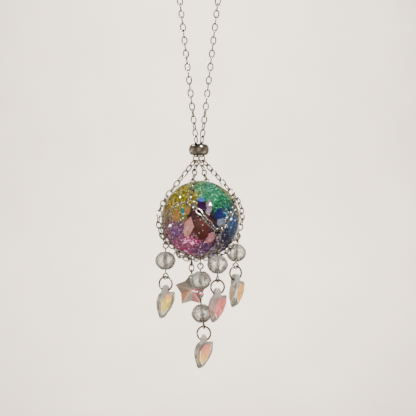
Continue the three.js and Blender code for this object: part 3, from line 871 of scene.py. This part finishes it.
# The film's colours, each with the direction from the centre where it is purest
ZONES = [
    (seen_at(-0.66, 0.61), OLIVE),
    (seen_at(-0.23, 0.86), GOLD),
    (seen_at(-0.5, 0.4), GOLD),
    (seen_at(0.13, 0.88), TEAL),
    (seen_at(0.36, 0.7), GREEN),
    (seen_at(0.6, 0.5), EMERALD),
    (seen_at(0.84, 0.22), (0.01, 0.12, 0.22)),
    (seen_at(0.81, -0.08), BLUE),
    (seen_at(0.7, -0.35), NAVY),
    (seen_at(0.6, -0.55), INDIGO),
    (seen_at(0.04, -0.8), VIOLET),
    (seen_at(-0.4, -0.66), MAGENTA),
    (seen_at(-0.62, -0.32), VIOLET),
    (seen_at(-0.8, 0), AMBER),
    (seen_at(0.05, 0.1), PLUM),
    (seen_at(-0.1, -0.35), (0.3, 0.04, 0.08)),
    (np.array([0.3, 0.95, 0.1]), MAGENTA),
    (np.array([-0.6, 0.8, 0.2]), BLUE),
    (np.array([0.75, 0.55, 0.35]), GOLD),
    (np.array([-0.2, 0.75, -0.6]), TEAL),
    (np.array([0.1, 0.8, 0.6]), INDIGO),
]
# Chips that show from the front: place and size in ball radii, lean in degrees, colour
FRONT_CHIPS = [
    (0.02, 0.49, 0.25, 0.14, 8, (0.1, 0.2, 0.75)),
    (0.04, 0.33, 0.26, 0.26, 20, (0.05, 0.012, 0.06)),
    (0.22, 0.3, 0.2, 0.42, -8, (0.42, 0.32, 0.4)),
    (0.47, 0.15, 0.34, 0.3, 15, (0.02, 0.035, 0.2)),
    (0.5, -0.05, 0.28, 0.22, 10, (0.26, 0.3, 0.45)),
    (-0.14, 0.17, 0.22, 0.25, 0, (0.045, 0.008, 0.015)),
    (-0.32, 0.22, 0.16, 0.3, -10, (0.55, 0.3, 0.1)),
    (-0.57, 0.1, 0.22, 0.36, -12, (0.5, 0.25, 0.06)),
    (-0.44, 0.2, 0.1, 0.3, 25, (0.02, 0.35, 0.42)),
    (-0.3, -0.17, 0.3, 0.72, -12, (0.92, 0.42, 0.38)),
    (0.0, -0.21, 0.44, 0.55, 10, (0.11, 0.012, 0.01)),
    (0.25, -0.44, 0.24, 0.34, -20, (0.8, 0.3, 0.4)),
    (-0.19, -0.53, 0.34, 0.14, 15, (0.7, 0.05, 0.3)),
    (-0.6, -0.3, 0.16, 0.16, 30, (0.25, 0.08, 0.4)),
    (0.08, -0.62, 0.3, 0.12, -12, (0.2, 0.08, 0.3)),
    (-0.15, 0.62, 0.22, 0.2, 30, (0.5, 0.42, 0.05)),
]
# The brightest flakes of the glitter, which glow as painted glints: place in ball radii, size in mm,
# colour
GLINTS = [
    (-0.5, 0.57, 0.6, (0.98, 0.95, 0.8)),
    (-0.77, -0.17, 0.6, (0.98, 0.9, 0.95)),
    (-0.42, 0.04, 0.6, (0.85, 0.98, 0.98)),
    (-0.4, 0.14, 0.4, (0.5, 0.85, 0.9)),
    (-0.63, -0.32, 0.45, (0.6, 0.4, 0.95)),
    (-0.18, -0.56, 0.9, (0.98, 0.85, 0.95)),
    (-0.1, -0.5, 0.5, (0.98, 0.8, 0.9)),
    (-0.35, -0.77, 0.6, (0.98, 0.85, 0.9)),
    (-0.08, -0.35, 0.5, (0.95, 0.85, 0.85)),
    (-0.3, 0.62, 0.45, (0.98, 0.95, 0.7)),
    (-0.1, 0.6, 0.4, (0.98, 0.97, 0.85)),
    (-0.62, 0.33, 0.4, (0.95, 0.9, 0.5)),
    (0.3, 0.62, 0.45, (0.7, 0.98, 0.85)),
    (0.48, 0.62, 0.4, (0.6, 0.95, 0.8)),
    (0.7, 0.5, 0.45, (0.3, 0.85, 0.4)),
    (0.5, 0.4, 0.4, (0.3, 0.9, 0.95)),
    (0.28, 0.58, 0.35, (0.95, 0.98, 0.9)),
    (-0.75, 0.05, 0.4, (0.95, 0.85, 0.6)),
    (-0.68, -0.1, 0.4, (0.9, 0.7, 0.5)),
    (0.02, 0.62, 0.35, (0.95, 0.95, 0.7)),
]
CHIP_COLOURS = [
    (0.1, 0.2, 0.75),
    (0.09, 0.02, 0.16),
    (0.42, 0.32, 0.4),
    (0.6, 0.25, 0.32),
    (0.2, 0.03, 0.025),
    (0.55, 0.3, 0.1),
    (0.02, 0.35, 0.42),
    (0.4, 0.42, 0.6),
    (0.7, 0.05, 0.3),
    (0.1, 0.4, 0.2),
]
GLITTER_TONES = [
    (0.95, 0.85, 0.5),
    (0.9, 0.9, 0.92),
    (0.95, 0.6, 0.75),
    (0.6, 0.95, 0.75),
    (0.65, 0.8, 0.98),
]
CLUSTER_TONES = [(0.9, 0.35, 0.6), (0.95, 0.7, 0.85), (0.6, 0.05, 0.25), (0.8, 0.2, 0.5)]

SEED = 11
FILM_FLAKES = 2600
BACK_CHIPS = 46  # of which those that fall on the back half stay
GLITTER = 5200  # of which fewer stay in the darker zones
# Near-white flecks at random that glow: painted glints
SPARKS = 260
CLUSTER = 80  # glowing flakes in the bright cluster low on the front, painted glints
CLUSTER_PLACE, CLUSTER_SPREAD = (-0.2, -0.53), (0.13, 0.06)
# The share of the fine glitter that glows in its own colour: painted glints
GLOWING_SHARE = 0.12
MIRROR, GLOWING = 0, 1  # the numbers of the glitter's materials: mirror flakes, and flecks that glow as painted glints
ZONE_EDGE = 18  # how sharply one zone of colour gives way to the next
WOBBLE, WOBBLE_SCALE, WOBBLE_SHIFTS = 0.3, 2.3, (0.0, 17.3, 41.9)


def zone_colour(way):
    """The colour of the sealed film towards a direction, its borders broken up by a smooth noise."""
    wobble = [noise.noise(Vector(way * WOBBLE_SCALE + shift)) for shift in WOBBLE_SHIFTS]
    bent = unit(way + WOBBLE * np.array(wobble))
    total, colour = 0.0, np.zeros(3)
    for place, tone in ZONES:
        weight = math.exp(ZONE_EDGE * (float(unit(place) @ bent) - 1))
        total += weight
        colour += weight * np.array(tone)
    return colour / total


def flake(build, way, radius, size, lean, corners, colour, rng, tilt, thickness, look=0, rough=0.15):
    """An irregular flat flake, so wide and so high, that faces roughly away from the ball's centre."""
    up = np.array([0.0, 0.0, 1.0]) if abs(way[2]) < 0.95 else np.array([1.0, 0.0, 0.0])
    side = unit(np.cross(up, way))
    up = turned(np.cross(way, side), way, math.radians(lean))
    side = np.cross(up, way)
    axis = unit(side * rng.gauss(0, 1) + up * rng.gauss(0, 1))
    angle = math.radians(rng.gauss(0, tilt))
    side, up, out = (turned(v, axis, angle) for v in (side, up, way))
    outline = []
    for k in range(corners):
        a = (k + rng.uniform(-0.28, 0.28)) / corners * 2 * math.pi
        r = rng.uniform(0.97 - rough, 0.97 + rough)
        outline.append((r * size[0] / 2 * math.cos(a), r * size[1] / 2 * math.sin(a)))
    centre = BALL + way * radius
    front = [centre + side * x + up * y + out * thickness / 2 for x, y in outline]
    back = [centre + side * x + up * y - out * thickness / 2 for x, y in outline]
    n = corners
    faces = [list(range(n)), list(range(2 * n - 1, n - 1, -1))]
    faces += [[k, k + n, (k + 1) % n + n, (k + 1) % n] for k in range(n)]
    build.add(front + back, faces, look, tuple(float(min(1, max(0, c))) for c in colour))


def speck(build, way, radius, size, corners, colour, rng, tilt, look=GLOWING):
    """A flake of glitter at any lean; unless given another look it glows, a painted glint."""
    lean = rng.uniform(0, 360)
    flake(build, way, radius, size, lean, corners, colour, rng, tilt, thickness=0.02, look=look)


def random_way(rng):
    """A direction, each as likely as any other."""
    z = rng.uniform(-1, 1)
    a = rng.uniform(0, 2 * math.pi)
    return np.array([math.sqrt(1 - z * z) * math.cos(a), math.sqrt(1 - z * z) * math.sin(a), z])


def sphere(subdivisions, radius):
    mesh = bmesh.new()
    bmesh.ops.create_icosphere(mesh, subdivisions=subdivisions, radius=radius)
    points = [np.array(v.co) for v in mesh.verts]
    faces = [[v.index for v in f.verts] for f in mesh.faces]
    mesh.free()
    return points, faces


def resin_ball():
    points, faces = sphere(6, BALL_RADIUS)
    build = Build()
    build.add([BALL + point for point in points], faces, 0, (0.98, 0.98, 0.99))
    resin = clear_glass("clear_resin", IOR=RESIN_IOR, Transmission_Weight=1.0)
    build.piece("resin_ball_shell", [resin], "clear_resin", ["resin_ball"])


def sealed_film(rng):
    """A closed uneven film in the zones' colours, with small flakes of it standing out."""
    build = Build()
    ways, faces = sphere(5, 1)
    heights = [CORE - 0.5 + 0.35 * noise.noise(Vector(way * 5)) for way in ways]
    points = [BALL + way * height for way, height in zip(ways, heights)]
    for corners in faces:
        colour = zone_colour(unit(sum(ways[i] for i in corners))) * 0.6
        build.add([points[i] for i in corners], [[0, 1, 2]], 0, tuple(float(c) for c in colour))
    for _ in range(FILM_FLAKES):
        way = random_way(rng)
        tone = zone_colour(way) * rng.uniform(0.12, 1.9) + rng.uniform(0, 0.012)
        width = rng.uniform(0.4, 1.1)
        radius = CORE - rng.uniform(0.05, 0.5)
        size = (width, width * rng.uniform(0.5, 1.1))
        lean, corners = rng.uniform(0, 360), rng.choice((4, 5, 6))
        flake(build, way, radius, size, lean, corners, tone, rng, tilt=22, thickness=0.05)
    matt = {"Metallic": 0.2, "Roughness": 0.32, "Specular_IOR_Level": 0.0}
    foil = painted("foil_film", Specular_Tint=(0.2, 0.2, 0.2, 1), **matt)
    build.piece("sealed_film", [foil], "clear_resin", smooth=False)


def sealed_chips(rng):
    """Larger chips: those that show from the front in their places, and some by chance at the back."""
    build = Build()
    scale = 0.86 * BALL_RADIUS
    for x, z, width, height, lean, colour in FRONT_CHIPS:
        radius, corners = CORE + rng.uniform(0.0, 0.25), rng.choice((5, 7, 8, 9))
        size = (width * scale, height * scale)
        shape = {"tilt": 7, "thickness": 0.35, "rough": 0.28}
        flake(build, seen_at(x, z), radius, size, lean, corners, colour, rng, **shape)
    for _ in range(BACK_CHIPS):
        way = random_way(rng)
        if way[1] < 0.25:
            continue
        width = rng.uniform(1.6, 4.2)
        radius = CORE + rng.uniform(-0.1, 0.2)
        size = (width, width * rng.uniform(0.5, 1.0))
        lean, corners = rng.uniform(0, 360), rng.choice((5, 6, 7))
        colour = rng.choice(CHIP_COLOURS)
        flake(build, way, radius, size, lean, corners, colour, rng, tilt=8, thickness=0.35)
    chip = painted("chip", 650.0, 0.3, 1.75, Roughness=0.4, Specular_IOR_Level=0.0)
    build.piece("sealed_chips", [chip], "clear_resin", smooth=False)


def sealed_glitter(rng):
    """Fine glitter all round, a share of it glowing, then sparks, the brightest glints and a cluster in
    their places, which all glow: painted glints.
    """
    build = Build()
    for _ in range(GLITTER):
        way = random_way(rng)
        zone = zone_colour(way)
        tone = np.array(rng.choice(GLITTER_TONES))
        width, out, share = rng.uniform(0.18, 0.4), rng.uniform(0.0, 0.6), rng.random()
        glows = rng.random() < GLOWING_SHARE
        if share > 0.22 + 4 * zone.mean():
            continue
        colour = tone * 0.2 + zone * 0.5 if glows else tone * 0.15 + zone * 1.7
        look = GLOWING if glows else MIRROR
        speck(build, way, CORE - 0.1 + out, (width, width), 6, colour, rng, tilt=26, look=look)
    for _ in range(SPARKS):
        way = random_way(rng)
        colour = np.array((0.95, 0.95, 0.92)) * rng.uniform(0.3, 0.8) + zone_colour(way) * 0.5
        width = rng.uniform(0.28, 0.5)
        speck(build, way, CORE + 0.45, (width, 0.8 * width), 5, colour, rng, tilt=10)
    for x, z, width, colour in GLINTS:
        speck(build, seen_at(x, z), CORE + 0.5, (width, 0.7 * width), 5, colour, rng, tilt=8)
    for _ in range(CLUSTER):
        x, z = (at + rng.gauss(0, wide) for at, wide in zip(CLUSTER_PLACE, CLUSTER_SPREAD))
        width = rng.uniform(0.25, 0.5)
        colour = rng.choice(CLUSTER_TONES)
        speck(build, seen_at(x, z), CORE + 0.45, (width, width), 5, colour, rng, tilt=26)
    mirrors = painted("glitter", Metallic=1.0, Roughness=0.15, Specular_Tint=(0.25, 0.25, 0.25, 1))
    # Flecks that glow in their own colour, though no lamp: painted glints
    glowing_flecks = painted("glowing_glitter", Roughness=0.5, Specular_IOR_Level=0.0, Emission_Strength=1.5)
    build.piece("sealed_glitter", [mirrors, glowing_flecks], "clear_resin", smooth=False)


resin_ball()
sealed_rng = random.Random(SEED)
sealed_film(sealed_rng)
sealed_chips(sealed_rng)
sealed_glitter(sealed_rng)


# ---- stage, light and camera ----


PAPER = [(0.3, (0.34, 0.309, 0.272)), (0.7, (0.378, 0.344, 0.305))]
BEND_STEPS = 12


def stage():
    """A pale round floor that sweeps up into a backdrop all round."""
    floor_z, flat, bend, top, turns = -420.0, 900.0, 450.0, 1500.0, 72
    profile = [(0.001, floor_z), (flat, floor_z)]
    for i in range(1, BEND_STEPS + 1):
        angle = i / BEND_STEPS * math.pi / 2
        profile.append((flat + bend * math.sin(angle), floor_z + bend - bend * math.cos(angle)))
    profile.append((flat + bend, top))
    build = Build()
    turned_profile(build, profile[::-1], turns)
    material, tree, principled = shader("pale_paper", Roughness=0.9)
    tree.links.new(ramp(tree, grain(tree, 9.0), PAPER), principled.inputs["Base Color"])
    in_scene("sweep", build.mesh("sweep", smooth=True), [material])


def area_light(name, place, size, watts, colour, target=(0, 0, -0.09), glossy=True):
    data = bpy.data.lights.new(name, "AREA")
    data.shape, data.size, data.energy, data.color = "DISK", size, watts, colour
    lamp = in_scene(name, data)
    lamp.location = place
    aim = Vector(target) - Vector(place)
    lamp.rotation_euler = aim.to_track_quat("-Z", "Y").to_euler()
    lamp.visible_camera = False
    lamp.visible_glossy = glossy
    return lamp


stage()
SPARK = (1.0, 0.98, 0.95)
area_light("key", (0.36, -0.49, 0.48), 0.12, 14.0, (1.0, 0.97, 0.92))
area_light("soft_left", (-0.78, -0.45, 0.3), 0.5, 2.5, (0.97, 0.98, 1.0), glossy=False)
area_light("spark_high", (-0.4, 0.09, 0.37), 0.04, 2.2, SPARK)
area_light("spark_left", (-0.58, 0.1, -0.21), 0.05, 0.5, SPARK)
area_light("spark_right", (0.5, -0.2, -0.3), 0.05, 0.4, SPARK)
# Four lamps above the part that wash the backdrop on each side: direction and watts
WASHES = {"back": (0, 1, 29.0), "front": (0, -1, 11.0), "left": (-1, 0, 9.0), "right": (1, 0, 9.0)}
for name, (x, y, watts) in WASHES.items():
    place, target = (0.5 * x, 0.5 * y, 0.8), (1.35 * x, 1.35 * y, -0.15)
    wash = area_light(f"wash_{name}", place, 0.6, watts, (1.0, 0.945, 0.88), target, glossy=False)
    wash.data.spread = math.radians(75)
world = bpy.data.worlds.new("room")
world.use_nodes = True
world.node_tree.nodes["Background"].inputs["Color"].default_value = (0.62, 0.61, 0.6, 1)
world.node_tree.nodes["Background"].inputs["Strength"].default_value = 0.22
bpy.context.scene.world = world

CAMERA_AWAY = 0.4
HALF_VIEW = 0.0794  # half the width of what the camera sees at that distance
CAMERA_RIGHT, CAMERA_UP = 0.00286, 0.00439  # of the ball's centre
camera_data = bpy.data.cameras.new("camera")
camera_data.sensor_width = 36.0
camera_data.lens = 36.0 / 2 / (HALF_VIEW / CAMERA_AWAY)
camera = in_scene("camera", camera_data)
camera.location = (BALL[0] / 1000 + CAMERA_RIGHT, -CAMERA_AWAY, BALL[2] / 1000 + CAMERA_UP)
camera.rotation_euler = (math.pi / 2, 0, 0)
bpy.context.scene.camera = camera
